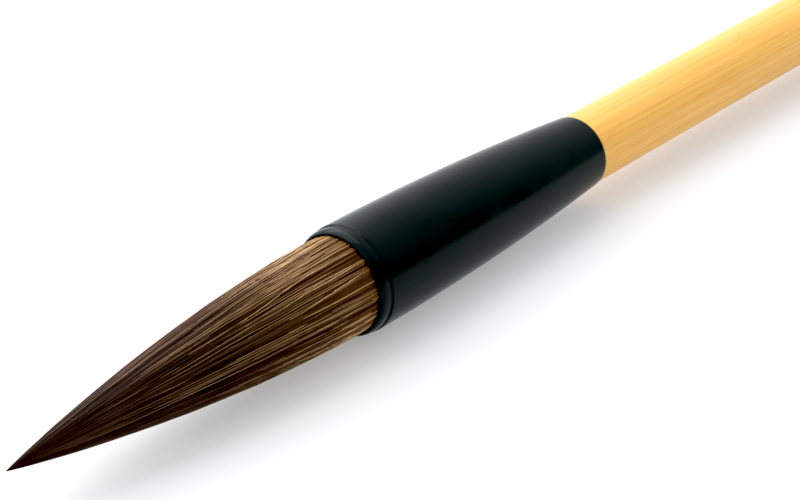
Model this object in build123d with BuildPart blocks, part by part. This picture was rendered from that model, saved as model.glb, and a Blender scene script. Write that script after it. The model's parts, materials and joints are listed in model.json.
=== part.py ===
from build123d import *
from math import pi, radians, tan
import os

# A calligraphy brush: a hair tuft glued and bound into a moulded ferrule, on a bamboo culm with
# an end cap and a hanging loop. It lies along X with the point of the tuft towards -X, and
# z = 0 is the surface that the thickest part of the ferrule touches. Millimetres.
os.makedirs("parts", exist_ok=True)

# ---- Driving dimensions ------------------------------------------------------------------
# Lengths along the brush, as seen from outside.
tuft_length = 48.0  # hair in front of the ferrule's mouth
ferrule_length = 44.0
handle_length = 151.5  # bare bamboo between ferrule and cap
cap_length = 6.5

# Tuft.
tuft_radius = 5.9  # where the hair leaves the ferrule
point_radius = 0.1  # the blunt end of the point
wrap_thickness = 0.55  # the layer of fine hair wrapped over the core
core_setback = 2.4  # the core's point stops this far inside the tuft's
layer_gap = 0.01  # between the core and the layer wrapped over it
outline_flatness = 1.85  # how long the tuft stays full behind its root
outline_sharpness = 0.95  # how straight its last third runs into the point
bends = (12.0, 23.5, 35.0)  # where the tuft bends, in front of the mouth
bend_gap = 0.3  # between a dome and the socket that turns round it

# Root of the tuft, inside the ferrule.
root_depth = 11.5  # from the mouth to the cut ends of the hair
bound_length = 3.2  # the stretch drawn in by the thread
draw_in = 1.15  # how much thinner the hair is where it is bound
thread_radius = 0.24
thread_pitch = 0.42
seal_thickness = 0.7  # hair ends fused together by searing
bed_thickness = 1.0  # adhesive under the seal
glue_gap = 0.02

# Ferrule.
mouth_clearance = 0.05  # round the hair
lip_wall = 0.43
lip_length = 1.6
lip_round = 0.2
shoulder_step = 0.12  # from the lip up to the ferrule's thickest place
shoulder_round = 0.05
cup_taper = 0.65  # the cup's floor is this much smaller in radius than its mouth
web_thickness = 2.0
rear_step = 0.06  # from the bamboo up to the ferrule's rear rim
rear_round = 0.3
socket_depth = 15.0
relief_step = 0.65  # the hollow in front of the socket is this much smaller in radius

# Handle.
handle_radius = 4.6
culm_radius = 2.4  # the natural hollow of the bamboo
spigot_wall = 1.1
spigot_clearance = 0.05
spigot_end_gap = 0.3
culm_chamfer = 0.08

# End cap and hanging loop.
cap_round = 0.9
tenon_length = 8.0
tenon_clearance = 0.05
recess_wall = 0.45
knot_recess_depth = 4.6
hole_clearance = 0.12  # round the two legs of the cord
hole_round = 0.2
cord_radius = 0.45
leg_gap = 0.06  # between the two legs
leg_setback = 0.4  # the fixed legs stop this far inside the cap's end face
loop_start = 0.35  # and the free loop starts this far outside it
knot_clearance = 0.3
knot_pitch = 1.1
knot_turns = 3
knot_gap = 0.1  # between the knot and the floor of its recess

# ---- Places that follow ------------------------------------------------------------------
# Distances along the brush are measured from the ferrule's mouth, towards the handle.
overall_length = tuft_length + ferrule_length + handle_length + cap_length
mouth_x = tuft_length - overall_length / 2
bound_start = root_depth - bound_length
seal_end = root_depth + seal_thickness + 2 * glue_gap
cup_depth = seal_end + bed_thickness
socket_start = ferrule_length - socket_depth
cap_start = ferrule_length + handle_length
cap_end = cap_start + cap_length
tenon_start = cap_start - tenon_length
recess_floor = tenon_start + knot_recess_depth

core_radius = tuft_radius - wrap_thickness
core_length = tuft_length - core_setback
bound_radius = tuft_radius - draw_in
winding_radius = bound_radius + glue_gap + thread_radius
mouth_radius = tuft_radius + mouth_clearance
cup_floor_radius = mouth_radius - cup_taper
lip_radius = mouth_radius + lip_wall
shoulder_radius = lip_radius + shoulder_step
rear_radius = handle_radius + rear_step
spigot_radius = culm_radius + spigot_wall
socket_radius = spigot_radius + spigot_clearance
relief_radius = socket_radius - relief_step
tenon_radius = culm_radius - tenon_clearance
knot_recess_radius = tenon_radius - recess_wall
knot_radius = knot_recess_radius - knot_clearance
leg_offset = cord_radius + leg_gap / 2
cord_hole_radius = leg_offset + cord_radius + hole_clearance
axis_height = shoulder_radius

# Sections are drawn in the side view: across is the distance behind the mouth, up the radius.
side = Plane(origin=(mouth_x, 0, axis_height), x_dir=(1, 0, 0), z_dir=(0, -1, 0))
brush_axis = Axis((mouth_x, 0, axis_height), (1, 0, 0))


def save(part, name):
    part.label = name
    export_step(part, f"parts/{name}.step")


# ---- Tuft --------------------------------------------------------------------------------
def outline_radius(distance, radius, length):
    """Radius of a dressed tuft that starts at radius and comes to its point at length."""
    full = (1 - (distance / length) ** outline_flatness) ** outline_sharpness
    return point_radius + (radius - point_radius) * full


def hair_section(radius, length, bound):
    """Half section of a bundle of hair from its point back to its cut ends in the ferrule."""
    shares = (0, 0.12, 0.28, 0.44, 0.6, 0.74, 0.86, 0.95, 1)
    outline = [(-s * length, outline_radius(s * length, radius, length)) for s in shares]
    with BuildSketch() as section:
        with BuildLine():
            Spline(outline)
            Polyline(outline[-1], (-length, 0), (root_depth, 0), (root_depth, bound),
                     (bound_start, bound), outline[0])
        make_face()
    return section.sketch


def reach(start, end):
    """Half section of the space between two bends: a socket round the first, a dome on the second."""
    with BuildSketch() as section:
        behind = root_depth if start is None else -start
        ahead = -tuft_length if end is None else -end
        with Locations(((behind + ahead) / 2, 0)):
            Rectangle(behind - ahead, 4 * tuft_radius)
        if end is not None:
            with Locations((-end, 0)):
                Circle(outline_radius(end, tuft_radius, tuft_length))
        if start is not None:
            with Locations((-start, 0)):
                Circle(outline_radius(start, tuft_radius, tuft_length) + bend_gap, mode=Mode.SUBTRACT)
    return section.sketch


core_bound = bound_radius - wrap_thickness
whole_hair = hair_section(tuft_radius, tuft_length, bound_radius)
core_hair = hair_section(core_radius, core_length, core_bound)
core_space = hair_section(core_radius + layer_gap, core_length + layer_gap, core_bound + layer_gap)

stretches = ("root", "belly", "throat", "point")
for stretch, start, end in zip(stretches, (None, *bends), (*bends, None)):
    with BuildPart() as tuft_core:
        with BuildSketch(side):
            add(core_hair)
            add(reach(start, end), mode=Mode.INTERSECT)
        revolve(axis=brush_axis)
    save(tuft_core.part, f"tuft_core_{stretch}")

    with BuildPart() as tuft_wrap:
        with BuildSketch(side):
            add(whole_hair)
            add(core_space, mode=Mode.SUBTRACT)
            add(reach(start, end), mode=Mode.INTERSECT)
        revolve(axis=brush_axis)
    save(tuft_wrap.part, f"tuft_wrap_{stretch}")

# Hemp thread wound side by side round the bound root.
thread_turns = int((bound_length - 2 * thread_radius) / thread_pitch)
winding_middle = (bound_start + root_depth) / 2
with BuildPart() as binding_thread:
    with BuildSketch(side):
        with Locations((winding_middle, winding_radius)):
            with GridLocations(thread_pitch, 1, thread_turns, 1):
                Circle(thread_radius)
    revolve(axis=brush_axis)
save(binding_thread.part, "binding_thread")

# The seared ends of the hair.
with BuildPart() as root_seal:
    with BuildSketch(side):
        with Locations((root_depth + glue_gap, 0)):
            Rectangle(seal_thickness, bound_radius, align=(Align.MIN, Align.MIN))
    revolve(axis=brush_axis)
    fillet(root_seal.edges().filter_by(GeomType.CIRCLE).sort_by(Axis.X)[-1], seal_thickness / 3)
save(root_seal.part, "root_seal")


# ---- Ferrule -----------------------------------------------------------------------------
with BuildPart() as ferrule:
    with BuildSketch(side) as wall:
        with BuildLine():
            Polyline((0, mouth_radius), (0, lip_radius), (lip_length, lip_radius),
                     (lip_length, shoulder_radius))
            TangentArc((lip_length, shoulder_radius), (ferrule_length, rear_radius), tangent=(1, 0))
            Polyline((ferrule_length, rear_radius), (ferrule_length, socket_radius),
                     (socket_start, socket_radius), (socket_start, relief_radius),
                     (cup_depth + web_thickness, relief_radius), (cup_depth + web_thickness, 0),
                     (cup_depth, 0), (cup_depth, cup_floor_radius), (0, mouth_radius))
        make_face()
        fillet(wall.vertices().sort_by(Axis.Y)[-1], shoulder_round)
        fillet(wall.vertices().group_by(Axis.X)[0].sort_by(Axis.Y)[-1], lip_round)
        fillet(wall.vertices().group_by(Axis.X)[-1].sort_by(Axis.Y)[-1], rear_round)
    revolve(axis=brush_axis)
save(ferrule.part, "ferrule")

# Adhesive bed: a disc under the seal and a collar round the thread.
bed_floor = cup_depth - glue_gap
bed_edges = [mouth_radius - glue_gap - cup_taper * s / cup_depth for s in (bound_start, bed_floor)]
collar_radius = winding_radius + thread_radius + glue_gap
with BuildPart() as root_adhesive:
    with BuildSketch(side):
        with BuildLine():
            Polyline((bound_start, collar_radius), (seal_end, collar_radius), (seal_end, 0), (bed_floor, 0),
                     (bed_floor, bed_edges[1]), (bound_start, bed_edges[0]), close=True)
        make_face()
    revolve(axis=brush_axis)
save(root_adhesive.part, "root_adhesive")


# ---- Handle ------------------------------------------------------------------------------
with BuildPart() as bamboo_handle:
    with BuildSketch(side):
        spigot_start = socket_start + spigot_end_gap
        with Locations((ferrule_length, culm_radius)):
            Rectangle(handle_length, handle_radius - culm_radius, align=(Align.MIN, Align.MIN))
        with Locations((spigot_start, culm_radius)):
            Rectangle(ferrule_length - spigot_start, spigot_radius - culm_radius,
                      align=(Align.MIN, Align.MIN))
    revolve(axis=brush_axis)
    outer_rims = bamboo_handle.edges().filter_by(GeomType.CIRCLE).group_by(SortBy.RADIUS)[-1]
    chamfer(outer_rims, culm_chamfer)
save(bamboo_handle.part, "bamboo_handle")


# ---- End cap -----------------------------------------------------------------------------
with BuildPart() as end_cap:
    with BuildSketch(side):
        with BuildLine():
            Polyline((tenon_start, knot_recess_radius), (tenon_start, tenon_radius),
                     (cap_start, tenon_radius), (cap_start, handle_radius), (cap_end, handle_radius),
                     (cap_end, cord_hole_radius), (recess_floor, cord_hole_radius),
                     (recess_floor, knot_recess_radius), close=True)
        make_face()
    revolve(axis=brush_axis)
    end_rims = end_cap.edges().filter_by(GeomType.CIRCLE).group_by(Axis.X)[-1].sort_by(SortBy.RADIUS)
    fillet(end_rims[-1], cap_round)
    fillet(end_rims[0], hole_round)
save(end_cap.part, "end_cap")


# ---- Hanging loop ------------------------------------------------------------------------
# The fixed part of the cord: a knot in the cap's recess and its two legs in the hole.
knot_end = recess_floor - knot_gap
turn_radius = 0.6 * knot_pitch
knot_middle = knot_end - turn_radius - (knot_turns - 1) * knot_pitch / 2
with BuildPart() as loop_knot:
    with BuildSketch(side):
        with Locations((knot_middle, knot_radius - turn_radius)):
            with GridLocations(knot_pitch, 1, knot_turns, 1):
                Circle(turn_radius)
        with Locations((knot_middle, 0)):
            Rectangle(knot_turns * knot_pitch, knot_radius - turn_radius, align=(Align.CENTER, Align.MIN))
    revolve(axis=brush_axis)
    leg_plane = Plane(origin=(mouth_x + knot_middle, 0, axis_height), x_dir=(0, 1, 0), z_dir=(1, 0, 0))
    with BuildSketch(leg_plane):
        with Locations((0, leg_offset), (0, -leg_offset)):
            Circle(cord_radius)
    extrude(amount=cap_end - leg_setback - knot_middle)
save(loop_knot.part, "loop_knot")

# The free loop stands upright. Its points give the distance from the cap's end face and the
# height above the brush's axis.
loop_points = [
    (loop_start, leg_offset),
    (1.95, 0.62),
    (3.9, 1.85),
    (6.0, 3.65),
    (8.75, 4.3),
    (11.3, 3.15),
    (12.4, 0.6),
    (11.35, -1.9),
    (8.75, -2.75),
    (5.8, -2.35),
    (3.4, -1.15),
    (1.75, -0.58),
    (loop_start, -leg_offset),
]
route = [Vector(mouth_x + cap_end + out, 0, axis_height + up) for out, up in loop_points]
runs = [b - a for a, b in zip(route, route[1:])]
loop_radii = [
    0.45 * min(a.length, b.length) / tan(radians(a.get_angle(b) / 2)) for a, b in zip(runs, runs[1:])
]
print("loop radii in cord diameters", [round(r / (2 * cord_radius), 1) for r in loop_radii])
with BuildPart() as hanging_loop:
    with BuildLine() as loop_path:
        FilletPolyline(*route, radius=loop_radii)
    with BuildSketch(Plane(origin=loop_path.wire() @ 0, z_dir=loop_path.wire() % 0)):
        Circle(cord_radius)
    sweep(path=loop_path.wire())
loop_length = loop_path.wire().length
print("loop length", round(loop_length, 2), "volume", round(hanging_loop.part.volume, 3),
      "section x length", round(pi * cord_radius**2 * loop_length, 3))
save(hanging_loop.part, "hanging_loop")
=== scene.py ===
import json
import math
import bpy
import numpy as np
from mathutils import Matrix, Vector


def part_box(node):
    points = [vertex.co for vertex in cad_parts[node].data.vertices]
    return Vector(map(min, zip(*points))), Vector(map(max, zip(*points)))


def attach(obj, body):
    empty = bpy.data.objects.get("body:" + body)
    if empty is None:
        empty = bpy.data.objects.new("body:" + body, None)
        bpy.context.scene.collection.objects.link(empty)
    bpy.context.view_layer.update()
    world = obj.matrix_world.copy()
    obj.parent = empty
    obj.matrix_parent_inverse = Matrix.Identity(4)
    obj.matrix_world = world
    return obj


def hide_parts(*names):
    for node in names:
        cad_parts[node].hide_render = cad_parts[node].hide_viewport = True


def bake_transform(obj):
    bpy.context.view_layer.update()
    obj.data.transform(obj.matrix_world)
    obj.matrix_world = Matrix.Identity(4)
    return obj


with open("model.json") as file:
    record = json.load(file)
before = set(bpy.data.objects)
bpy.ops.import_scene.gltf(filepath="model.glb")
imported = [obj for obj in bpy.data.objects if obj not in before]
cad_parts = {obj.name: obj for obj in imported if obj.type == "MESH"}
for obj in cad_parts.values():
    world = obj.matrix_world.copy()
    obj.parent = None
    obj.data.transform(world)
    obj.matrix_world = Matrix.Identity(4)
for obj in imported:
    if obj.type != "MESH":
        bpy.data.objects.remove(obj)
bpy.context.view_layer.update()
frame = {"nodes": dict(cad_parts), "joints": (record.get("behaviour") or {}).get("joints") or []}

mm = 0.001
rng = np.random.default_rng(11)

# ---- Places and sizes from the frame ---------------
# The brush lies along X, its point towards -X. Distances along it are measured from the
# ferrule's mouth: "behind" towards the handle, "ahead" towards the point of the tuft.
ferrule_low, ferrule_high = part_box("ferrule")
mouth_x = ferrule_low.x
axis_z = (ferrule_low.z + ferrule_high.z) / 2
ferrule_length = ferrule_high.x - mouth_x
shoulder_radius = (ferrule_high.z - ferrule_low.z) / 2
tuft_length = mouth_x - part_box("tuft_wrap_point")[0].x
tuft_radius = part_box("tuft_wrap_root")[1].y
root_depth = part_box("tuft_wrap_root")[1].x - mouth_x
culm_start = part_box("bamboo_handle")[0].x - mouth_x
cap_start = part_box("bamboo_handle")[1].x - mouth_x
culm_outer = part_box("bamboo_handle")[1].y
cap_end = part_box("end_cap")[1].x - mouth_x
tenon_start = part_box("end_cap")[0].x - mouth_x
mouth = Vector((mouth_x, 0, axis_z))


# ---- Camera ----------------------------------------
lens = 102.9
azimuth = math.radians(-49.7)
elevation = math.radians(28.3)
mouth_left_of_view, mouth_below_view, mouth_distance = 6.787 * mm, 3.885 * mm, 252.13 * mm


def add_camera():
    """A long lens close in front of the point, left of the brush and above it, with the mouth of the
    ferrule a little left of the middle of the view and below it."""
    right = Vector((math.cos(azimuth), math.sin(azimuth), 0))
    back = Vector((math.sin(azimuth) * math.cos(elevation), -math.cos(azimuth) * math.cos(elevation),
                   math.sin(elevation)))
    up = back.cross(right)
    data = bpy.data.cameras.new("camera")
    data.lens = lens
    data.clip_start, data.clip_end = 0.01, 10
    camera = bpy.data.objects.new("camera", data)
    bpy.context.scene.collection.objects.link(camera)
    camera.location = mouth + mouth_left_of_view * right + mouth_below_view * up + mouth_distance * back
    camera.rotation_euler = (-back).to_track_quat("-Z", "Y").to_euler()
    bpy.context.scene.camera = camera


add_camera()


# ---- Making meshes ---------------------------------
def make_piece(name, points, *faces):
    """A new object from an array of points and arrays of faces, each array with its own number of corners."""
    corners = np.concatenate([f.ravel() for f in faces]).astype(np.int32)
    sides = np.concatenate([np.full(len(f), f.shape[1]) for f in faces])
    mesh = bpy.data.meshes.new(name)
    mesh.vertices.add(len(points))
    mesh.vertices.foreach_set("co", np.ascontiguousarray(points, np.float32).ravel())
    mesh.loops.add(len(corners))
    mesh.loops.foreach_set("vertex_index", corners)
    mesh.polygons.add(len(sides))
    mesh.polygons.foreach_set("loop_start", (np.cumsum(sides) - sides).astype(np.int32))
    mesh.update(calc_edges=True)
    mesh.shade_smooth()
    piece = bpy.data.objects.new(name, mesh)
    bpy.context.scene.collection.objects.link(piece)
    return piece


def keep_attribute(piece, name, values):
    """Stores one number, or one vector, for each vertex."""
    values = np.asarray(values, np.float32)
    kind, field = ("FLOAT", "value") if values.ndim == 1 else ("FLOAT_VECTOR", "vector")
    piece.data.attributes.new(name, kind, "POINT").data.foreach_set(field, values.ravel())


def grid_quads(rows, columns):
    """The four corners of each cell of a grid of rows of points, where every row is a ring."""
    index = np.arange(rows * columns).reshape(rows, columns)
    beside = np.roll(index, -1, axis=1)
    return np.stack([index[:-1], beside[:-1], beside[1:], index[1:]], -1).reshape(-1, 4)


def end_fans(first, last, tip):
    """The triangles that close a tube of rings: from the first ring to the point numbered tip, and from the
    last ring, the other way round, to the point after it."""
    return np.vstack([
        np.column_stack([np.roll(first, -1), first, np.full(len(first), tip)]),
        np.column_stack([last, np.roll(last, -1), np.full(len(last), tip + 1)]),
    ])


crisp_edge = math.radians(32)  # an edge of a turned piece that turns by more than this looks crisp


def turned(name, profile, around, relief=None):
    """A piece turned about the brush's axis. Each point (behind, radius) of the profile becomes the ring
    (mouth + behind, radius cos t, axis + radius sin t), for t once round. A profile that starts and ends
    on the axis is closed there by fans, and any other is joined up end to end. relief(behind, radius, t) is
    added to the radius."""
    behind, radius = np.array(profile, float).T
    capped = radius[0] == 0
    if capped:
        tips = behind[[0, -1]]
        behind, radius = behind[1:-1], radius[1:-1]
    else:
        behind, radius = np.append(behind, behind[0]), np.append(radius, radius[0])
    t = np.linspace(0, 2 * math.pi, around, endpoint=False)
    d, t = np.meshgrid(behind, t, indexing="ij")
    r = np.broadcast_to(radius[:, None], d.shape)
    if relief is not None:
        r = r + relief(d, r, t)
    points = np.stack([mouth_x + d, r * np.cos(t), axis_z + r * np.sin(t)], -1).reshape(-1, 3)
    quads = grid_quads(len(behind), around)
    if capped:
        rings = np.arange(len(points)).reshape(-1, around)
        fans = end_fans(rings[0], rings[-1], len(points))
        points = np.vstack([points, [(mouth_x + x, 0, axis_z) for x in tips]])
        piece = make_piece(name, points, quads, fans)
    else:
        last_ring = (len(behind) - 1) * around
        piece = make_piece(name, points[:last_ring], quads % last_ring)
    piece.data.set_sharp_from_angle(angle=crisp_edge)
    return piece


def rounded(corners, steps=6):
    """A profile through corners (behind, radius, rounding). A corner with a rounding becomes an arc that
    meets both its sides: its centre lies along the half angle, rounding / sin(half) away."""
    corners = np.array(corners, float)
    profile = [corners[0, :2]]
    for before, (x, y, rounding), after in zip(corners, corners[1:], corners[2:]):
        corner = np.array((x, y))
        if rounding == 0:
            profile.append(corner)
            continue
        a, b = before[:2] - corner, after[:2] - corner
        a, b = a / np.linalg.norm(a), b / np.linalg.norm(b)
        half = math.acos(a @ b) / 2
        centre = corner + (a + b) / np.linalg.norm(a + b) * rounding / math.sin(half)
        start = corner + a * rounding / math.tan(half) - centre
        end = corner + b * rounding / math.tan(half) - centre
        share = np.linspace(0, 1, steps)[:, None]
        chord = start * (1 - share) + end * share
        profile.extend(centre + chord / np.linalg.norm(chord, axis=1)[:, None] * rounding)
    profile.append(corners[-1, :2])
    return profile


# ---- Hanging loop ----------------------------------
cord_radius = 0.45 * mm
leg_offset = 0.48 * mm  # from the brush's axis to the middle of each leg
cord_lay = 2.6 * mm  # one turn of its three plies
cord_groove = 0.17  # depth of the groove between two plies, as a share of the radius
cord_rings = 420
# Distance beyond the cap's end face and height above the axis: a leg inside the cap, the loop,
# and the other leg.
loop_route = [
    (-5.2, 0.48), (-2.8, 0.48), (-0.9, 0.48),
    (0.35, 0.48), (1.95, 0.62), (3.9, 1.85), (6.0, 3.65), (8.75, 4.3), (11.3, 3.15), (12.4, 0.6),
    (11.35, -1.9), (8.75, -2.75), (5.8, -2.35), (3.4, -1.15), (1.75, -0.58), (0.35, -0.48),
    (-0.9, -0.48), (-2.8, -0.48), (-5.2, -0.48),
]


def smooth_line(route):
    """The points of the smooth line that the route's points steer, in the plane Y = 0."""
    curve = bpy.data.curves.new("route", "CURVE")
    curve.dimensions = "3D"
    curve.resolution_u = 16
    spline = curve.splines.new("NURBS")
    spline.points.add(len(route) - 1)
    for point, (out, up) in zip(spline.points, route):
        point.co = (mouth_x + cap_end + out * mm, 0, axis_z + up * mm, 1)
    spline.order_u = 3
    spline.use_endpoint_u = True
    guide = bpy.data.objects.new("route", curve)
    line = bpy.data.meshes.new_from_object(guide)
    points = np.zeros(len(line.vertices) * 3)
    line.vertices.foreach_get("co", points)
    bpy.data.objects.remove(guide)
    bpy.data.curves.remove(curve)
    bpy.data.meshes.remove(line)
    return points.reshape(-1, 3)


def along_line(line):
    """How far along the line each of its points lies."""
    return np.append(0, np.cumsum(np.linalg.norm(np.diff(line, axis=0), axis=1)))


def unit(directions):
    """The directions at length one."""
    return directions / np.linalg.norm(directions, axis=-1, keepdims=True)


def make_laid_cord(name, line, across, radius, around=24):
    """A cord of three plies laid along a line. At angle t round it and distance s along it, its radius is
    radius (1 - groove (1 - |cos(1.5 (t - 2 pi s / lay))|) ** 1.3), measured from the direction across, which
    is square to the line. Each end is closed by a fan."""
    tangent = unit(np.gradient(line, axis=0))
    aside = np.cross(tangent, across)
    s, t = np.meshgrid(along_line(line), np.linspace(0, 2 * math.pi, around, endpoint=False), indexing="ij")
    twisted = t - 2 * math.pi * s / cord_lay
    r = (radius * (1 - cord_groove * (1 - np.abs(np.cos(1.5 * twisted))) ** 1.3))[..., None]
    c, d = np.cos(t)[..., None], np.sin(t)[..., None]
    points = (line[:, None] + r * (c * across[:, None] + d * aside[:, None])).reshape(-1, 3)
    ring = np.arange(around)
    fans = end_fans(ring, ring + len(points) - around, len(points))
    piece = make_piece(name, np.vstack([points, line[[0, -1]]]), grid_quads(len(line), around), fans)
    laid = np.stack([s, t * radius, 0 * s], -1).reshape(-1, 3)
    keep_attribute(piece, "laid", np.vstack([laid, laid[[0, -1]]]) / mm)
    return piece


def make_hanging_loop():
    """The cord: a leg inside the cap, round the loop and back to the other leg."""
    route = smooth_line(loop_route)
    travel = along_line(route)
    evenly = np.linspace(0, travel[-1], cord_rings)
    line = np.column_stack([np.interp(evenly, travel, route[:, k]) for k in range(3)])
    across = np.cross((0, 1, 0), unit(np.gradient(line, axis=0)))
    piece = make_laid_cord("hanging_cord", line, across, cord_radius)
    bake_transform(piece)
    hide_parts("hanging_loop")
    return piece


hanging_cord = make_hanging_loop()


def make_cord_knot():
    """The knot in the cap's recess: the cord wound three times round its own legs. The line is a helix of
    radius a about the brush's axis, (start + pitch t / 2 pi, a cos t, a sin t), with its ends tucked in by
    a smaller radius."""
    turns, winding_radius, pitch, rings = 3, 0.72 * mm, 0.98 * mm, 150
    start = tenon_start + 1.1 * mm
    t = np.linspace(0, 2 * math.pi * turns, rings)
    a = winding_radius * (1 - 0.35 * np.abs(t / t[-1] * 2 - 1) ** 8)
    line = np.column_stack([mouth_x + start + pitch * t / (2 * math.pi), a * np.cos(t),
                            axis_z + a * np.sin(t)])
    tangent = unit(np.gradient(line, axis=0))
    outward = np.column_stack([0 * t, np.cos(t), np.sin(t)])
    outward = unit(outward - (outward * tangent).sum(1)[:, None] * tangent)
    piece = make_laid_cord("cord_knot", line, outward, 0.95 * cord_radius, 16)
    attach(piece, "handle")
    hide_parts("loop_knot")
    return piece


cord_knot = make_cord_knot()


# ---- Ferrule ---------------------------------------
mouth_clearance = 0.05 * mm
lip_wall, lip_front, lip_length = 0.42 * mm, 1.0 * mm, 1.6 * mm
lip_foot_depth, lip_foot = 0.05 * mm, 0.12 * mm  # the groove in which the lip meets the shoulder
shoulder_bevel, shoulder_round, rear_round = 0.3 * mm, 0.2 * mm, 0.3 * mm
cup_taper, cup_depth, web = 0.65 * mm, 13.24 * mm, 2.0 * mm
cup_round, socket_round, web_round = 0.3 * mm, 0.1 * mm, 0.2 * mm
rear_step, socket_depth, relief_step = 0.06 * mm, 15.0 * mm, 0.65 * mm
mouth_radius = tuft_radius + mouth_clearance
lip_radius = mouth_radius + lip_wall
rear_radius = culm_outer + rear_step
socket_radius = 3.55 * mm


def make_ferrule():
    """The moulded ferrule: a cup for the hair, a web, a relief and the socket for the bamboo. Its lip is a
    bead whose front is a quarter of an ellipse, (front (1 - cos u), mouth + wall sin u). From the shoulder
    back, the outside follows a circle that leaves the shoulder along the axis and passes through the rear
    rim: radius (behind) = shoulder - R + root(R^2 - (behind - shoulder)^2)."""
    shoulder = lip_length + shoulder_bevel
    run, drop = ferrule_length - shoulder, shoulder_radius - rear_radius
    sweep = (run**2 + drop**2) / (2 * drop)
    behind = np.linspace(0, run - rear_round, 90)[1:]
    body = shoulder_radius - sweep + np.sqrt(sweep**2 - behind**2)
    cup = rounded([(cup_depth, 0, 0), (cup_depth, mouth_radius - cup_taper, cup_round), (0, mouth_radius, 0)])
    u = np.linspace(0, math.pi / 2, 14)
    bead = list(zip(lip_front * (1 - np.cos(u)), mouth_radius + lip_wall * np.sin(u)))
    # The neck's last corner only says which way it leaves the shoulder, and is dropped from the profile.
    neck = rounded([(lip_front, lip_radius, 0), (lip_length, lip_radius - lip_foot_depth, lip_foot),
                    (shoulder, shoulder_radius, shoulder_round), (shoulder + 1 * mm, shoulder_radius, 0)])
    outer = rounded([
        (shoulder + behind[-1], body[-1], 0), (ferrule_length, rear_radius, rear_round),
        (ferrule_length, socket_radius, socket_round), (ferrule_length - socket_depth, socket_radius, 0),
        (ferrule_length - socket_depth, socket_radius - relief_step, 0),
        (cup_depth + web, socket_radius - relief_step, web_round), (cup_depth + web, 0, 0)])
    profile = cup[:-1] + bead + neck[1:-1] + list(zip(shoulder + behind[:-1], body[:-1])) + outer[1:]
    piece = turned("ferrule_moulding", profile, 224)
    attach(piece, "handle")
    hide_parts("ferrule")
    return piece


ferrule = make_ferrule()


# ---- Bamboo ----------------------------------------
culm_radius, spigot_wall = 2.4 * mm, 1.1 * mm  # the natural hollow, and the wall of the spigot round it
culm_chamfer, culm_rim = 0.08 * mm, 0.3 * mm  # the rim at each end of the bare bamboo stays round


def bamboo_relief(behind, radius, t):
    """How the scraped culm departs from a true round, always inwards: two and three shallow flats that turn
    slowly along it, and the ridges of its fibres, a few hundredths of a millimetre."""
    far = behind / mm
    flats = 0.030 * (1 - np.cos(2 * t + 0.6 + far / 90)) + 0.018 * (1 - np.cos(3 * t + 2.1 - far / 70))
    fibres = sum(0.0022 * (1 - np.cos(k * t + phase + 0.7 * np.sin(far / wander + phase)))
                 for k, phase, wander in ((23, 0.3, 31), (37, 1.9, 23), (58, 4.0, 17), (71, 2.7, 41)))
    bare = np.clip((far - ferrule_length / mm) / 0.5, 0, 1) * np.clip((cap_start / mm - far) / 0.5, 0, 1)
    return -(flats + fibres) * mm * bare * (radius > 0.9 * culm_outer)


def make_bamboo():
    """The bamboo: the bare culm between ferrule and cap with its relief, the spigot in the ferrule's socket
    and the natural hollow through both."""
    along = np.linspace(ferrule_length + culm_rim, cap_start - culm_rim, 320)
    spigot, chamfered = culm_radius + spigot_wall, culm_outer - culm_chamfer
    profile = [(culm_start, culm_radius), (culm_start, spigot), (ferrule_length, spigot),
               (ferrule_length, chamfered), (ferrule_length + culm_chamfer, culm_outer)]
    profile += [(x, culm_outer) for x in along]
    profile += [(cap_start - culm_chamfer, culm_outer), (cap_start, chamfered), (cap_start, culm_radius)]
    profile += [(x, culm_radius) for x in np.linspace(cap_start, culm_start, 12)[1:-1]]
    piece = turned("bamboo_culm", profile, 256, bamboo_relief)
    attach(piece, "handle")
    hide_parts("bamboo_handle")
    return piece


bamboo = make_bamboo()


# ---- End cap ---------------------------------------
cap_round, hole_round, tenon_round, rim_round = 0.9 * mm, 0.2 * mm, 0.1 * mm, 0.06 * mm
hole_clearance, tenon_clearance = 0.12 * mm, 0.05 * mm
hole_radius = leg_offset + cord_radius + hole_clearance
recess_wall, knot_recess_depth = 0.45 * mm, 4.6 * mm
tenon_radius = culm_radius - tenon_clearance


def make_end_cap():
    """The moulded cap: a tenon in the culm with a recess for the knot, a rounded end and a hole for the
    cord."""
    recess_floor = tenon_start + knot_recess_depth
    recess = tenon_radius - recess_wall
    profile = rounded([
        (tenon_start, recess, 0), (tenon_start, tenon_radius, tenon_round), (cap_start, tenon_radius, 0),
        (cap_start, culm_outer, rim_round), (cap_start + 3 * mm, culm_outer, 0),
        (cap_end, culm_outer, cap_round), (cap_end, hole_radius, hole_round),
        (recess_floor, hole_radius, 0), (recess_floor, recess, 0)], 9)
    piece = turned("end_cap_moulding", profile, 192)
    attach(piece, "handle")
    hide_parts("end_cap")
    return piece


end_cap = make_end_cap()


# ---- Stamped ornaments -----------------------------
# Each stroke of ink: start and end (along the culm, around it), sideways bow and half width, in millimetres.
leaf = [((-0.9, -0.25), (-1.75, 0.95), 0.2, 0.27), ((-0.1, 0.0), (-0.75, 1.35), 0.22, 0.3),
        ((0.75, 0.2), (0.45, 1.45), 0.2, 0.26), ((-0.55, -0.1), (0.1, -1.4), -0.22, 0.3),
        ((0.3, 0.1), (1.15, -1.1), -0.2, 0.27), ((1.2, 0.3), (1.95, 1.15), 0.12, 0.24)]
sprig = [((-1.95, -0.65), (1.9, 0.45), 0.2, 0.13)] + leaf
petal_angles = 0.3 + 2 * math.pi / 5 * np.arange(5)
blossom = [((0.42 * math.cos(a), 0.42 * math.sin(a)), (1.65 * math.cos(a), 1.65 * math.sin(a)), 0.05, 0.4)
           for a in petal_angles]
blossom += [((0.05 * math.cos(a), 0.05 * math.sin(a)), (0.3 * math.cos(a), 0.3 * math.sin(a)), 0, 0.09)
            for a in petal_angles + 0.63]
ornament_side = math.radians(104)
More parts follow.
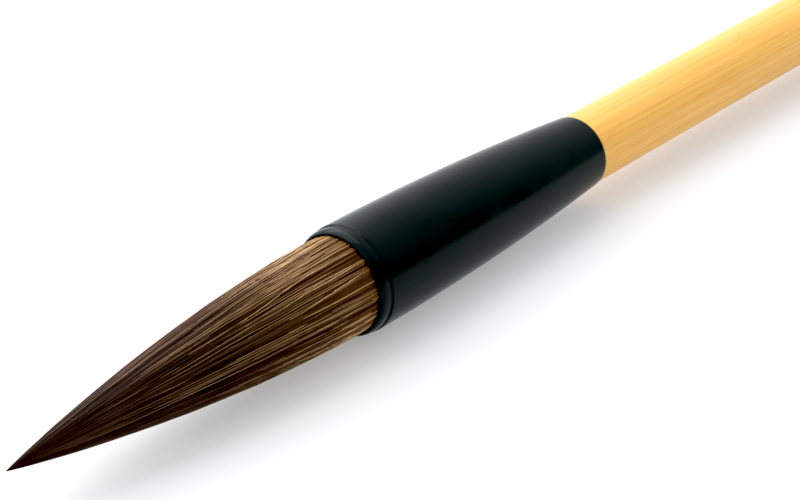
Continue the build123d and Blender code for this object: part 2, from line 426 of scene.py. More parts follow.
ink_height, ink_depth = 0.018 * mm, 0.05 * mm


def stamp_ornaments(name, strokes, places):
    """Ink strokes on the culm. At share s of a stroke, its middle is start + s (end - start), moved sideways
    by bow 4 s (1 - s), and its half width is width (sin(pi s ** 0.85)) ** 0.7. Its section is a flat lens of
    six points that lies on the culm's own relief, closed to a point at each end."""
    p, q, bow, width = (np.array(part, float) for part in zip(*strokes))
    bow, width = bow[:, None], width[:, None]
    s = np.linspace(0, 1, 17)[1:-1]
    side = unit(q - p)[:, ::-1] * (-1, 1)
    middle = p[:, None] + s[:, None] * (q - p)[:, None] + (bow * 4 * s * (1 - s))[..., None] * side[:, None]
    half = width * np.sin(math.pi * s**0.85) ** 0.7
    across = np.array((-1, -0.75, 0.75, 1, 0.75, -0.75))
    lift = np.array((0, 1, 1, 0, 0, 0)) * ink_height - np.array((0, 0, 0, 0, 1, 1)) * ink_depth
    flat = middle[:, :, None] + (half[..., None] * across)[..., None] * side[:, None, None]
    ends = np.stack([p, q], 1)
    lift = np.broadcast_to(lift, flat.shape[:3]).reshape(len(strokes), -1)
    flat = np.concatenate([flat.reshape(len(strokes), -1, 2), ends], 1)
    lift = np.concatenate([lift, np.zeros((len(strokes), 2))], 1)
    behind = np.array(places)[:, None, None] + flat[None, ..., 0] * mm
    t = ornament_side + flat[None, ..., 1] * mm / culm_outer + 0 * behind
    r = culm_outer + bamboo_relief(behind, culm_outer + 0 * t, t) + lift
    points = np.stack([mouth_x + behind, r * np.cos(t), axis_z + r * np.sin(t)], -1)
    ring = np.arange(len(across))
    quads = grid_quads(len(s), len(across))
    fans = end_fans(ring, ring + len(across) * (len(s) - 1), len(across) * len(s))
    first = np.arange(len(places) * len(strokes))[:, None, None] * points.shape[2]
    quads, fans = (first + quads).reshape(-1, 4), (first + fans).reshape(-1, 3)
    piece = make_piece(name, points.reshape(-1, 3), quads, fans)
    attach(piece, "handle")
    return piece


sprigs = stamp_ornaments("ink_sprigs", sprig, [cap_end - 28 * mm, cap_end - 41 * mm])
blossoms = stamp_ornaments("ink_blossoms", blossom, [cap_end - 62 * mm, cap_end - 70 * mm, cap_end - 77 * mm])


# ---- Tuft ------------------------------------------
# Worked out in millimetres, as distances ahead of the mouth; behind it they are negative.
tuft_full, tuft_end, point_radius = tuft_radius / mm, tuft_length / mm, 0.06
outline_flatness, outline_sharpness = 1.76, 0.95
bound_length, draw_in = 3.2, 1.15  # where the thread binds the hair, and how much thinner it is there
bound_start = root_depth / mm - bound_length
under_skin = 0.3  # the body of the tuft lies this far below its outermost hairs
pivots = {j["name"]: (mouth_x - j["pos_m"][0]) / mm for j in frame["joints"]}
# Each stretch of the tuft: its name, the body before it, its own body and the pivot between the two.
stretches = [("belly", "handle", "tuft_belly", pivots["tuft_bend"]),
             ("throat", "tuft_belly", "tuft_throat", pivots["throat_bend"]),
             ("point", "tuft_throat", "tuft_point", pivots["point_bend"])]
cuts = [(a[3] + b[3]) / 2 for a, b in zip(stretches, stretches[1:])]
tuft_nodes = ("root", "belly", "throat", "point")


def outline(ahead):
    """Radius of the dressed tuft: point + (full - point)(1 - (ahead / length) ** flatness) ** sharpness, and
    the full radius behind the mouth."""
    share = np.clip(ahead / tuft_end, 0, 1)
    return point_radius + (tuft_full - point_radius) * (1 - share**outline_flatness) ** outline_sharpness


# Locks of hair: waves round the tuft, each with a number of locks, a depth, a phase and a drift in
# radians per millimetre along it.
locks = [(13, 0.012, 0.4, 0.003), (23, 0.018, 2.2, -0.004), (37, 0.03, 5.1, 0.005), (59, 0.035, 1.3, -0.006),
         (83, 0.03, 3.7, 0.007), (127, 0.025, 0.9, -0.008)]


def unevenly(t):
    """The angle with its pace varied round the tuft, so that no two neighbouring locks are as wide."""
    return t + 0.11 * np.sin(3 * t + 1.0) + 0.055 * np.sin(7 * t + 2.2)


def lock_depth(ahead, t):
    """How far the surface sinks between locks: the sum of depth (1 - cos(count t + phase + drift ahead)) / 2,
    with t taken unevenly, less where the tuft is thinner."""
    t = unevenly(t)
    depth = sum(a * (1 - np.cos(k * t + phase + k * drift * ahead)) / 2 for k, a, phase, drift in locks)
    return depth * outline(ahead) / tuft_full


def gathered(ahead, t):
    """Angles drawn together into the locks: t - sum of 0.25 sin(count t + phase + drift ahead) / count, with
    t taken unevenly inside the sines."""
    u = unevenly(t)
    return t - sum(0.25 * np.sin(k * u + phase + k * drift * ahead) / k for k, _, phase, drift in locks)


def in_frame(ahead, radius, t):
    """Points in the frame, in metres, from distance ahead of the mouth, radius and angle in millimetres."""
    return np.stack([mouth_x - ahead * mm, radius * mm * np.cos(t), axis_z + radius * mm * np.sin(t)], -1)


def bend_with_bodies(piece):
    """Bakes the piece's placement into its points."""
    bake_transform(piece)


lock_edge = math.radians(50)  # the grooves between locks stay smooth, and the discs' rims are crisp


def make_tuft_body(stretch, start, end):
    """The body of the tuft under its outermost hairs, from start to end: rings of radius
    outline - skin - lock depth, drawn in where the thread binds them, closed by a disc at each end."""
    name = stretch[0]
    around, ring_gap = 360, 0.45
    ahead = np.linspace(start, end, max(8, int((end - start) / ring_gap)))
    t = np.linspace(0, 2 * math.pi, around, endpoint=False)
    a, t = np.meshgrid(ahead, t, indexing="ij")
    share = outline(a) / tuft_full
    radius = outline(a) - under_skin * np.sqrt(share) - lock_depth(a, t)
    radius -= draw_in * np.clip(0.5 - bound_start - a, 0, 1)
    points = in_frame(a, np.maximum(radius, 0.02), t).reshape(-1, 3)
    tips = in_frame(ahead[[0, -1]], np.zeros(2), np.zeros(2))
    ring = np.arange(around)
    fans = end_fans(ring, ring + len(points) - around, len(points))[:, (1, 0, 2)]
    points = np.vstack([points, tips])
    piece = make_piece(f"tuft_body_{name}", points, grid_quads(len(ahead), around)[:, ::-1], fans)
    piece.data.set_sharp_from_angle(angle=lock_edge)
    rest = np.column_stack([mouth_x - points[:, 0], points[:, 1], points[:, 2] - axis_z]) / mm
    keep_attribute(piece, "rest", rest)
    bend_with_bodies(piece)
    return piece


hair_count = 3900
shaded_side = math.radians(222)  # painted shade: hairs are darkened along this low side of the tuft, towards -Y, and along the high side across from it
mouth_tuck = 3.0  # hairs run this far into the ferrule
finest_hair, coarsest_hair = 0.05, 0.09  # radii, several times a real hair's so that each one shows
late_share = 0.22  # of the hairs rise from below along the tuft
stray_share, stray_width = 0.018, 1.6  # single coarse hairs that lie loose on the tuft
pale_share, pale_width = 0.022, 0.85  # pale hairs among the others, whose light colour is partly a painted highlight for glints along single hairs
deepest = 0.32  # how far below the outline a hair may lie
dip = 0.3  # a hair's end dives this much deeper


def comb_hairs():
    """The outermost hairs as three-sided strands on shared stations along the tuft. A strand's middle runs
    at radius outline - own radius - depth - lock depth and angle gathered(start + drift + wave), and its own
    radius thins towards its end. Where the tuft has narrowed to a share of its full radius, the same share
    of the hairs is left; the others have dived below the surface."""
    stations = np.concatenate([
        (-mouth_tuck, 1.5), np.linspace(5.6, cuts[0], 8), np.linspace(cuts[0], cuts[1], 9)[1:],
        np.linspace(cuts[1], tuft_end - 0.02, 14)[1:]])
    a = stations[None, :]
    count = hair_count
    start_angle = rng.uniform(0, 2 * math.pi, count)
    lasting = rng.uniform(0, 1, count)  # the share of the full radius at which the hair dives
    fine = np.linspace(0, tuft_end, 600)
    dive = np.interp(lasting, outline(fine)[::-1] / tuft_full, fine[::-1])
    dive = np.clip(dive + rng.normal(0, 1.2, count), 4, tuft_end)
    last = np.clip(np.searchsorted(stations, dive), 3, len(stations) - 1)
    late = rng.uniform(0, 1, count) < late_share
    rise = np.where(late, rng.uniform(0, 1, count) * (dive - 8), -mouth_tuck)
    first = np.clip(np.searchsorted(stations, rise), 0, last - 3)
    first_at, last_at = stations[first][:, None], stations[last][:, None]

    share = outline(a) / tuft_full
    stray = rng.uniform(0, 1, count) < stray_share
    # Pale hairs are lighter in tone, and partly a painted highlight for glints along single hairs.
    pale = stray | (rng.uniform(0, 1, count) < pale_share)
    wave = np.where(stray, rng.uniform(0.05, 0.16, count), np.abs(rng.normal(0, 0.03, count)))[:, None]
    wave_length = rng.uniform(14, 34, count)[:, None]
    wave_phase = rng.uniform(0, 2 * math.pi, count)[:, None]
    slope = rng.normal(0, np.where(stray, 0.016, 0.004), count)[:, None]
    aside = slope * a + wave * np.sin(2 * math.pi * a / wave_length + wave_phase)
    t = gathered(a, start_angle[:, None] + aside / tuft_full)
    width = np.where(stray, stray_width, np.where(pale, pale_width, 1.0))[:, None]
    thick = rng.uniform(finest_hair, coarsest_hair, count)[:, None] * width
    thin = 1 - 0.6 * np.clip((a - last_at + 9) / 9, 0, 1) ** 1.5
    thin *= 1 - 0.55 * np.clip((first_at + 3 - a) / 3, 0, 1) * late[:, None]
    thin *= 0.4 + 0.6 * np.sqrt(share)
    sunk = rng.uniform(0, 1, count) ** 1.2 * deepest
    depth = np.where(stray, -0.03, np.where(pale, 0.1 * sunk - 0.015, sunk))[:, None] * np.sqrt(share)
    depth = depth + dip * np.clip((a - last_at + 2.5) / 2.5, 0, 1) ** 2 * (last_at < tuft_end - 3) * share
    depth = depth + dip * np.clip((first_at + 2.5 - a) / 2.5, 0, 1) ** 2 * late[:, None]
    depth = depth + cup_taper / cup_depth * np.clip(-a, 0, None)  # drawn in with the ferrule's cup
    half = thick * thin
    middle = np.maximum(outline(a) - half - depth - lock_depth(a, t), 0.3 * half)

    lock_tone = sum(math.cos(i * 1.7) * np.cos(k * unevenly(start_angle) + phase)
                    for i, (k, _, phase, _) in enumerate(locks))
    tone = 0.45 + 0.07 * lock_tone + rng.normal(0, 0.25, count)
    tone = np.where(pale, rng.uniform(0.88, 1.0, count), np.clip(tone - 0.04, 0.02, 0.9))
    # Painted shade: each hair's tone drops on the two shaded sides, fully from 18 to 34 mm ahead of the
    # mouth.
    painted_shade = np.cos(t - shaded_side) ** 2 * np.clip((a - 2) / 16, 0, 1) * np.clip((60 - a) / 26, 0.6, 1)
    tone = np.clip(tone[:, None] - 0.28 * painted_shade, 0, 1)

    ring = np.array((0, 2 * math.pi / 3, -2 * math.pi / 3))
    radius = middle[..., None] + half[..., None] * np.cos(ring)
    angle = t[..., None] + half[..., None] * np.sin(ring) / middle[..., None]
    points = in_frame(np.broadcast_to(a[..., None], radius.shape), radius, angle)
    return stations, first, last, tone, points


stations, first_station, last_station, hair_tone, hair_points = comb_hairs()


def keep_ends_crisp(piece, end_rings):
    """Marks the edges round each closed end as sharp, so that a strand's shine runs on over a cut."""
    mark = np.zeros(len(piece.data.vertices), int)
    mark[end_rings[0]], mark[end_rings[1]] = 1, 2
    edges = np.zeros(len(piece.data.edges) * 2, np.int32)
    piece.data.edges.foreach_get("vertices", edges)
    a, b = mark[edges.reshape(-1, 2)].T
    piece.data.attributes.new("sharp_edge", "BOOLEAN", "EDGE").data.foreach_set("value", (a == b) & (a > 0))


def make_hairs(stretch, start, end):
    """The part of every strand between stations start and end. Each three-sided cell between two stations
    is kept where the strand is there, and each strand's two ends are closed by a triangle."""
    name = stretch[0]
    rings = hair_points[:, start:end + 1]
    count, rows = rings.shape[:2]
    index = np.arange(count * rows * 3).reshape(count, rows, 3)
    beside = np.roll(index, -1, axis=2)
    quads = np.stack([index[:, :-1], index[:, 1:], beside[:, 1:], beside[:, :-1]], -1)
    cell = np.arange(start, end)[None, :]
    there = (cell >= first_station[:, None]) & (cell < last_station[:, None])
    quads = quads[there].reshape(-1, 4)
    low = np.clip(first_station, start, end) - start
    high = np.clip(last_station, start, end) - start
    shown = high > low
    strand = np.arange(count)[shown]
    near = index[strand, low[shown]]
    far = index[strand, high[shown]][:, ::-1]
    used, packed = np.unique(np.concatenate([quads.ravel(), near.ravel(), far.ravel()]), return_inverse=True)
    piece = make_piece(f"tuft_hairs_{name}", rings.reshape(-1, 3)[used], packed[:quads.size].reshape(-1, 4),
                       packed[quads.size:].reshape(-1, 3))
    keep_ends_crisp(piece, packed[quads.size:].reshape(2, -1))
    along = (mouth_x - rings.reshape(-1, 3)[used, 0]) / mm
    tone = np.repeat(hair_tone[:, start:end + 1].ravel(), 3)[used]
    keep_attribute(piece, "ahead", along)
    keep_attribute(piece, "tone", tone)
    corners = np.zeros(len(piece.data.loops), np.int32)
    piece.data.loops.foreach_get("vertex_index", corners)
    side = np.concatenate([np.tile((0, 0, 1, 1), len(quads)), np.tile((0, 0.5, 1), 2 * len(strand))])
    which = np.concatenate([np.repeat(np.tile(np.arange(3), len(quads) // 3), 4), np.zeros(6 * len(strand))])
    spread = (along[corners] - stations[start]) / (stations[end] - stations[start])
    uv = np.column_stack([0.01 + 0.98 * spread, 0.01 + 0.97 * tone[corners] + 0.003 * (which + side)])
    piece.data.uv_layers.new(name="OFBake").uv.foreach_set("vector", uv.astype(np.float32).ravel())
    bend_with_bodies(piece)
    return piece


def make_tuft():
    """Body and hairs of each stretch, which meet at planes halfway between the pivots."""
    ends = [-root_depth / mm, *cuts, tuft_end - 0.1]
    marks = [int(np.abs(stations - x).argmin()) for x in (-mouth_tuck, *cuts, tuft_end)]
    bodies = [make_tuft_body(s, a, b) for s, a, b in zip(stretches, ends, ends[1:])]
    hairs = [make_hairs(s, a, b) for s, a, b in zip(stretches, marks, marks[1:])]
    for body, hair, nodes in zip(bodies, hairs, (tuft_nodes[:2], tuft_nodes[2:3], tuft_nodes[3:])):
        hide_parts(*(f"tuft_core_{n}" for n in nodes))
        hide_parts(*(f"tuft_wrap_{n}" for n in nodes))
    return bodies, hairs


tuft_bodies, tuft_hairs = make_tuft()


# ---- Materials -------------------------------------
def colour(hex_code):
    """An sRGB hex colour as linear red, green, blue and alpha."""
    channels = np.array([int(hex_code[i:i + 2], 16) for i in (1, 3, 5)]) / 255
    linear = np.where(channels <= 0.04045, channels / 12.92, ((channels + 0.055) / 1.055) ** 2.4)
    return (*linear.tolist(), 1.0)


def fill(tree, node, inputs):
    """Gives sockets of a node, by name or number, each a value or another node's output."""
    for key, value in dict(inputs).items():
        if isinstance(value, bpy.types.NodeSocket):
            tree.links.new(value, node.inputs[key])
        else:
            node.inputs[key].default_value = value


def add(tree, kind, inputs=(), stops=(), **settings):
    """Adds a node and fills its sockets. stops are a colour ramp's (place, hex colour) pairs; settings are
    the node's own properties."""
    made = tree.nodes.new(kind)
    for name, value in settings.items():
        setattr(made, name, value)
    fill(tree, made, inputs)
    for i, (place, hex_code) in enumerate(stops):
        ramp = made.color_ramp.elements
        stop = ramp[i] if i < 2 else ramp.new(place)
        stop.position, stop.color = place, colour(hex_code)
    return made


def new_material(name):
    """A material's tree with its principled shader."""
    made = bpy.data.materials.new(name)
    made.use_nodes = True
    return made, made.node_tree, made.node_tree.nodes["Principled BSDF"]


def hair_colour(tree, ahead, tone):
    """Colour of a hair by how far ahead of the mouth it is and by its tone, from 0, dark, to 1, light. All
    tones darken towards the point. Long streaks shift the tone, and some stretches are wine brown."""
    share = add(tree, "ShaderNodeMapRange", {0: ahead, 2: tuft_end, 4: 1.0}).outputs[0]
    place = add(tree, "ShaderNodeCombineXYZ", {0: ahead, 1: tone}).outputs[0]
    # Streaks 14 mm long, each for a narrow band of tones.
    at_streak = add(tree, "ShaderNodeMapping", {0: place, 3: (0.07, 60, 1)}).outputs[0]
    streak = add(tree, "ShaderNodeTexNoise", {0: at_streak, 2: 1.0, 3: 3.0, 4: 0.6}).outputs[0]
    shift = add(tree, "ShaderNodeMath", {0: streak, 1: 0.5}, operation="SUBTRACT").outputs[0]
    seen_tone = add(tree, "ShaderNodeMath", {0: shift, 1: 0.55, 2: tone}, operation="MULTIPLY_ADD").outputs[0]
    # Each ramp's first stop is darker than its next, over the 3 to 4 mm next to the mouth: painted shade
    # where the ferrule's lip shades the hair.
    dark = add(tree, "ShaderNodeValToRGB", {0: share}, [
        (0, "#4a2e18"), (0.08, "#50321d"), (0.25, "#3d2618"), (0.5, "#30201a"), (0.8, "#2e1f1b"),
        (1, "#301b18")]).outputs[0]
    middle = add(tree, "ShaderNodeValToRGB", {0: share}, [
        (0, "#744f2c"), (0.07, "#876442"), (0.2, "#684a2f"), (0.4, "#513927"), (0.65, "#463227"),
        (0.85, "#422f26"), (1, "#3c2620")]).outputs[0]
    light = add(tree, "ShaderNodeValToRGB", {0: share}, [
        (0, "#b3885a"), (0.07, "#d6b182"), (0.2, "#c8a178"), (0.45, "#a88362"), (0.7, "#8f6d56"),
        (0.9, "#775848"), (1, "#563a2e")]).outputs[0]
    to_middle = add(tree, "ShaderNodeMapRange", {0: seen_tone, 1: 0.22, 2: 0.6}).outputs[0]
    to_light = add(tree, "ShaderNodeMapRange", {0: seen_tone, 1: 0.6, 2: 0.98}).outputs[0]
    lower = add(tree, "ShaderNodeMix", {0: to_middle, 6: dark, 7: middle}, data_type="RGBA").outputs[2]
    upper = add(tree, "ShaderNodeMix", {0: to_light, 6: lower, 7: light}, data_type="RGBA").outputs[2]
    # Wine brown stretches 9 mm long.
    at_wine = add(tree, "ShaderNodeMapping", {0: place, 3: (0.11, 23, 1), 1: (4.0, 9.0, 0)}).outputs[0]
    wine_noise = add(tree, "ShaderNodeTexNoise", {0: at_wine, 2: 1.0, 3: 2.0}).outputs[0]
    wine = add(tree, "ShaderNodeMapRange", {0: wine_noise, 1: 0.56, 2: 0.66, 4: 0.8}).outputs[0]
    return add(tree, "ShaderNodeMix", {0: wine, 6: upper, 7: colour("#361c1f")}, data_type="RGBA").outputs[2]


def make_hair_material():
    """Combed animal hair, each hair with its own tone: a dry, soft shine along the strands."""
    material, tree, shader = new_material("combed_hair")
    ahead = add(tree, "ShaderNodeAttribute", attribute_name="ahead").outputs["Fac"]
    tone = add(tree, "ShaderNodeAttribute", attribute_name="tone").outputs["Fac"]
    rough = add(tree, "ShaderNodeMapRange", {0: tone, 3: 0.55, 4: 0.42}).outputs[0]
    fill(tree, shader, {"Base Color": hair_colour(tree, ahead, tone), "Roughness": rough,
                        "Specular IOR Level": 0.12})
    return material


def make_under_hair_material():
    """The same hair packed below the surface, with fine grooves between hairs instead of single hairs. It is
    darker: painted shade from the outer hairs above it."""
    material, tree, shader = new_material("packed_hair")
    rest = add(tree, "ShaderNodeAttribute", attribute_name="rest").outputs["Vector"]
    ahead = add(tree, "ShaderNodeSeparateXYZ", {0: rest}).outputs[0]
    # Hairs 20 mm long and 0.18 mm apart, as far apart as the single ones above them.
    at_hair = add(tree, "ShaderNodeMapping", {0: rest, 3: (0.05, 5.5, 5.5)}).outputs[0]
    hairs = add(tree, "ShaderNodeTexNoise", {0: at_hair, 2: 1.0, 3: 4.0, 4: 0.7}).outputs[0]
    # Painted shade: the packed hair takes only the darker tones, up to 0.6.
    tone = add(tree, "ShaderNodeMapRange", {0: hairs, 1: 0.3, 2: 0.75, 4: 0.6}).outputs[0]
    groove = add(tree, "ShaderNodeBump", {0: 0.6, 1: 0.00006, "Height": hairs}).outputs[0]
    rough = add(tree, "ShaderNodeMapRange", {0: hairs, 3: 0.65, 4: 0.5}).outputs[0]
    fill(tree, shader, {"Base Color": hair_colour(tree, ahead, tone), "Normal": groove, "Roughness": rough,
                        "Specular IOR Level": 0.1})
    return material


def make_resin_material():
    """Black phenolic resin, moulded and buffed: almost black with a green blue cast, a satin gloss that is
    slightly uneven, the faint orange peel of the mould and a few hairline scratches."""
    material, tree, shader = new_material("moulded_black_resin")
    place = add(tree, "ShaderNodeTexCoord").outputs["Object"]
    # Clouds 6 mm long and 3 mm wide.
    at_cloud = add(tree, "ShaderNodeMapping", {0: place, 3: (170, 330, 330)}).outputs[0]
    cloud = add(tree, "ShaderNodeTexNoise", {0: at_cloud, 2: 1.0, 3: 4.0, 4: 0.55}).outputs[0]
    base = add(tree, "ShaderNodeValToRGB", {0: cloud}, [(0.3, "#0b1111"), (0.7, "#101717")]).outputs[0]
    # Scratches 11 mm long and 0.2 mm wide, which is coarser than real ones, so that they show.
    at_scratch = add(tree, "ShaderNodeMapping", {
        0: place, 3: (90, 5200, 5200), 2: (0.04, 0.02, 0.1)}).outputs[0]
    scratch_noise = add(tree, "ShaderNodeTexNoise", {0: at_scratch, 2: 1.0, 3: 2.0}).outputs[0]
    scratch = add(tree, "ShaderNodeMapRange", {0: scratch_noise, 1: 0.68, 2: 0.76}).outputs[0]
    rough = add(tree, "ShaderNodeMapRange", {0: cloud, 1: 0.25, 2: 0.75, 3: 0.17, 4: 0.24}).outputs[0]
    marked = add(tree, "ShaderNodeMath", {0: scratch, 1: 0.06, 2: rough}, operation="MULTIPLY_ADD").outputs[0]
    # Orange peel half a millimetre across.
    at_peel = add(tree, "ShaderNodeMapping", {0: place, 3: (1900, 1900, 1900)}).outputs[0]
    peel = add(tree, "ShaderNodeTexNoise", {0: at_peel, 2: 1.0, 3: 2.0}).outputs[0]
    height = add(tree, "ShaderNodeMath", {0: scratch, 1: -0.5, 2: peel}, operation="MULTIPLY_ADD").outputs[0]
    bump = add(tree, "ShaderNodeBump", {0: 0.06, 1: 0.00003, "Height": height}).outputs[0]
    fill(tree, shader, {"Base Color": base, "Roughness": marked, "Normal": bump,
                        "Specular IOR Level": 0.125})
    return material


def make_bamboo_material():
    """Bamboo culm, scraped and polished with wax: warm yellow, with fine fibres along it, darker vessels a
    few millimetres long and broad stains, under a satin shine."""
    material, tree, shader = new_material("scraped_bamboo")
    place = add(tree, "ShaderNodeTexCoord").outputs["Object"]
    # Fibres 36 mm long and 0.24 mm wide: bundles of them, because a single one is too fine to show.
    at_fibre = add(tree, "ShaderNodeMapping", {0: place, 3: (28, 4200, 4200)}).outputs[0]
    fibre = add(tree, "ShaderNodeTexNoise", {0: at_fibre, 2: 1.0, 3: 4.0, 4: 0.65}).outputs[0]
    # Vessels 5 mm long and 0.15 mm wide, and stains 45 mm long and 5 mm wide.
    at_vessel = add(tree, "ShaderNodeMapping", {0: place, 3: (210, 6500, 6500)}).outputs[0]
    vessel_noise = add(tree, "ShaderNodeTexNoise", {0: at_vessel, 2: 1.0, 3: 2.0}).outputs[0]
    vessel = add(tree, "ShaderNodeMapRange", {0: vessel_noise, 1: 0.62, 2: 0.74, 4: 0.35}).outputs[0]
    at_stain = add(tree, "ShaderNodeMapping", {0: place, 3: (22, 210, 210)}).outputs[0]
    stain = add(tree, "ShaderNodeTexNoise", {0: at_stain, 2: 1.0, 3: 3.0}).outputs[0]
    clean = add(tree, "ShaderNodeValToRGB", {0: fibre}, [
        (0.3, "#e2a548"), (0.5, "#efb657"), (0.7, "#f7c66a")]).outputs[0]
    warm = add(tree, "ShaderNodeMapRange", {0: stain, 1: 0.4, 2: 0.75, 4: 0.45}).outputs[0]
    stained = add(tree, "ShaderNodeMix", {
        0: warm, 6: clean, 7: colour("#dc9a40")}, data_type="RGBA").outputs[2]
    veined = add(tree, "ShaderNodeMix", {
        0: vessel, 6: stained, 7: colour("#b0742c")}, data_type="RGBA").outputs[2]
    rough = add(tree, "ShaderNodeMapRange", {0: fibre, 1: 0.3, 2: 0.7, 3: 0.46, 4: 0.34}).outputs[0]
    height = add(tree, "ShaderNodeMath", {0: vessel, 1: -0.8, 2: fibre}, operation="MULTIPLY_ADD").outputs[0]
    bump = add(tree, "ShaderNodeBump", {0: 0.25, 1: 0.00004, "Height": height}).outputs[0]
    fill(tree, shader, {"Base Color": veined, "Roughness": rough, "Normal": bump, "IOR": 1.5})
    return material


def make_cord_material():
    """Waxed cotton cord, dyed dark navy: fine fibres run along each ply, with a dull waxy shine."""
    material, tree, shader = new_material("waxed_navy_cord")
    laid = add(tree, "ShaderNodeAttribute", attribute_name="laid").outputs["Vector"]
    # Fibres half a millimetre long and 0.05 mm wide, at the angle of the lay.
    lay = (0, 0, math.atan(1.1))
    at_fibre = add(tree, "ShaderNodeMapping", {0: laid, 2: lay, 3: (2.2, 22, 1)}).outputs[0]
    fibre = add(tree, "ShaderNodeTexNoise", {0: at_fibre, 2: 1.0, 3: 3.0}).outputs[0]
    dyed = add(tree, "ShaderNodeValToRGB", {0: fibre}, [(0.3, "#07071c"), (0.7, "#15163c")]).outputs[0]
    bump = add(tree, "ShaderNodeBump", {0: 0.5, 1: 0.00003, "Height": fibre}).outputs[0]
    rough = add(tree, "ShaderNodeMapRange", {0: fibre, 3: 0.62, 4: 0.45}).outputs[0]
    fill(tree, shader, {"Base Color": dyed, "Normal": bump, "Roughness": rough})
    return material


def make_hemp_material():
    """Twisted hemp thread, soaked with adhesive: straw colour with darker twist lines 0.4 mm apart."""
    material, tree, shader = new_material("hemp_thread")
    place = add(tree, "ShaderNodeTexCoord").outputs["Object"]
    at_twist = add(tree, "ShaderNodeMapping", {
        0: place, 3: (2400, 2400, 2400), 2: (0.5, 0, 0.6)}).outputs[0]
    twist = add(tree, "ShaderNodeTexNoise", {0: at_twist, 2: 1.0, 3: 4.0, 4: 0.7}).outputs[0]
    straw = add(tree, "ShaderNodeValToRGB", {0: twist}, [(0.3, "#8d734b"), (0.7, "#d3bb8d")]).outputs[0]
    bump = add(tree, "ShaderNodeBump", {0: 0.6, 1: 0.00005, "Height": twist}).outputs[0]
    fill(tree, shader, {"Base Color": straw, "Normal": bump, "Roughness": 0.75})
    return material


def make_seared_material():
    """Hair ends melted together with a hot iron: an almost black crust with blisters half a millimetre
    across, which shine more than the rest."""
    material, tree, shader = new_material("seared_hair_ends")
    place = add(tree, "ShaderNodeTexCoord").outputs["Object"]
    at_cell = add(tree, "ShaderNodeMapping", {0: place, 3: (1800, 1800, 1800)}).outputs[0]
    cell = add(tree, "ShaderNodeTexVoronoi", {0: at_cell, 2: 1.0}).outputs[0]
    crust = add(tree, "ShaderNodeValToRGB", {0: cell}, [(0.1, "#3a2415"), (0.6, "#160c07")]).outputs[0]
    bump = add(tree, "ShaderNodeBump", {0: 0.7, 1: 0.00008, "Height": cell}).outputs[0]
    rough = add(tree, "ShaderNodeMapRange", {0: cell, 2: 0.7, 3: 0.35, 4: 0.8}).outputs[0]
    fill(tree, shader, {"Base Color": crust, "Normal": bump, "Roughness": rough})
    return material


def make_adhesive_material():
    """Set adhesive: amber, glassy, with clouds 1.4 mm wide and bubbles a third of a millimetre across."""
    material, tree, shader = new_material("set_adhesive")
    place = add(tree, "ShaderNodeTexCoord").outputs["Object"]
    at_cloud = add(tree, "ShaderNodeMapping", {0: place, 3: (700, 700, 700)}).outputs[0]
    cloud = add(tree, "ShaderNodeTexNoise", {0: at_cloud, 2: 1.0, 3: 4.0}).outputs[0]
    amber = add(tree, "ShaderNodeValToRGB", {0: cloud}, [(0.3, "#8a5f26"), (0.7, "#c39548")]).outputs[0]
    at_bubble = add(tree, "ShaderNodeMapping", {0: place, 3: (3000, 3000, 3000)}).outputs[0]
    bubble = add(tree, "ShaderNodeTexVoronoi", {0: at_bubble, 2: 1.0}).outputs[0]
    bump = add(tree, "ShaderNodeBump", {0: 0.3, 1: 0.00004, "Height": bubble}).outputs[0]
    fill(tree, shader, {"Base Color": amber, "Normal": bump, "Roughness": 0.2})
    return material


def make_ink_material(name, dark, light):
    """Stamped lacquer ink: soaks into the fibres unevenly, so that it is thinner in streaks 2 mm long and
    0.2 mm wide, and dries dull."""
    material, tree, shader = new_material(name)
    place = add(tree, "ShaderNodeTexCoord").outputs["Object"]
    at_fibre = add(tree, "ShaderNodeMapping", {0: place, 3: (500, 5200, 5200)}).outputs[0]
    fibre = add(tree, "ShaderNodeTexNoise", {0: at_fibre, 2: 1.0, 3: 3.0}).outputs[0]
    ink = add(tree, "ShaderNodeValToRGB", {0: fibre}, [(0.35, dark), (0.7, light)]).outputs[0]
    rough = add(tree, "ShaderNodeMapRange", {0: fibre, 3: 0.45, 4: 0.65}).outputs[0]
    fill(tree, shader, {"Base Color": ink, "Roughness": rough})
    return material


def wear(material, *pieces):
    """Puts a material on pieces, in place of what they had."""
    for piece in pieces:
        piece.data.materials.clear()
        piece.data.materials.append(material)


wear(make_hair_material(), *tuft_hairs)
wear(make_under_hair_material(), *tuft_bodies)
wear(make_resin_material(), ferrule, end_cap)
wear(make_bamboo_material(), bamboo)
wear(make_ink_material("blue_lacquer_ink", "#1d2a78", "#33459c"), sprigs)
wear(make_ink_material("red_lacquer_ink", "#b32f1f", "#d2503a"), blossoms)
wear(make_cord_material(), hanging_cord, cord_knot)
wear(make_hemp_material(), frame["nodes"]["binding_thread"])
wear(make_seared_material(), frame["nodes"]["root_seal"])
wear(make_adhesive_material(), frame["nodes"]["root_adhesive"])


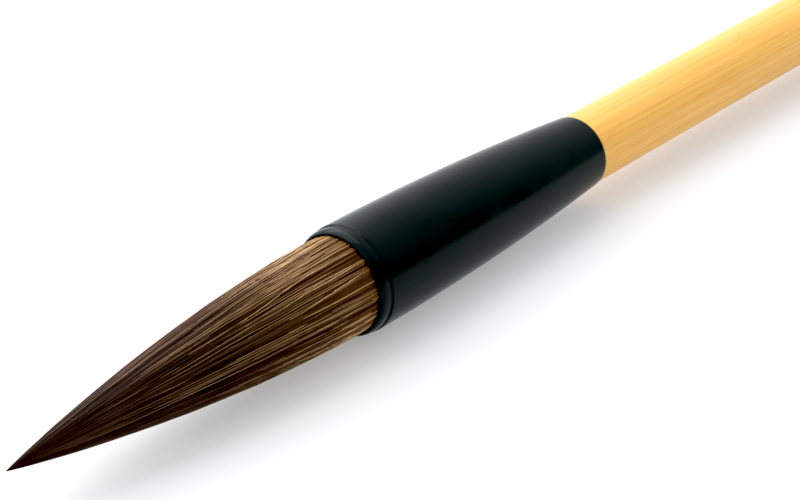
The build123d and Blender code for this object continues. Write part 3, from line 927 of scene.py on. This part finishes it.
# ---- Floor and light -------------------------------
card_grey, card_glow = 0.5, 0.32  # the card glows a little, so that it looks white under soft light
window_side = (-0.25, 0.72, 0.65)  # from the brush towards the brightest part of the room
dimmest, brightest = 0.2, 1.6
black_level = (0.0175, 0.0155, 0.016)  # light below this looks black, which deepens the shadows


def make_floor():
    """A plain white sheet of card on z = 0."""
    half = 3.0
    corners = np.array([(-half, -half, 0), (half, -half, 0), (half, half, 0), (-half, half, 0)])
    floor = make_piece("floor", corners, np.array([[0, 1, 2, 3]]))
    material, tree, shader = new_material("white_card")
    fill(tree, shader, {"Base Color": (card_grey, card_grey, card_grey, 1), "Roughness": 0.9,
                        "Specular IOR Level": 0.1, "Emission Color": (1, 1, 1, 1),
                        "Emission Strength": card_glow})
    wear(material, floor)


def add_softbox(name, towards, distance, size, power):
    """A square white softbox that faces the mouth of the ferrule from the direction towards."""
    direction = Vector(towards).normalized()
    data = bpy.data.lights.new(name, "AREA")
    data.shape, data.size = "SQUARE", size
    data.energy = power
    lamp = bpy.data.objects.new(name, data)
    lamp.location = mouth + direction * distance
    lamp.rotation_euler = direction.to_track_quat("Z", "Y").to_euler()
    bpy.context.scene.collection.objects.link(lamp)


def light_room():
    """A pale room that is brightest high up behind the brush, on the side of the window, and dimmest low
    down on this side: it goes from dimmest to brightest with direction . window side, from -1 to 1."""
    world = bpy.data.worlds.new("room")
    bpy.context.scene.world = world
    world.use_nodes = True
    tree = world.node_tree
    direction = add(tree, "ShaderNodeTexCoord").outputs["Generated"]
    towards_window = add(tree, "ShaderNodeVectorMath", {0: direction, 1: window_side},
                         operation="DOT_PRODUCT").outputs["Value"]
    bright = add(tree, "ShaderNodeMapRange", {
        0: towards_window, 1: -1, 2: 1, 3: dimmest, 4: brightest}).outputs[0]
    fill(tree, tree.nodes["Background"], {"Color": colour("#fbfdff"), "Strength": bright})
    shown = bpy.context.scene.view_settings
    shown.view_transform = "Standard"
    shown.use_curve_mapping = True
    shown.curve_mapping.black_level = black_level
    shown.curve_mapping.update()


make_floor()
light_room()
add_softbox("window", towards=(0.2, 0.9, 1.3), distance=1.2, size=1.4, power=14)
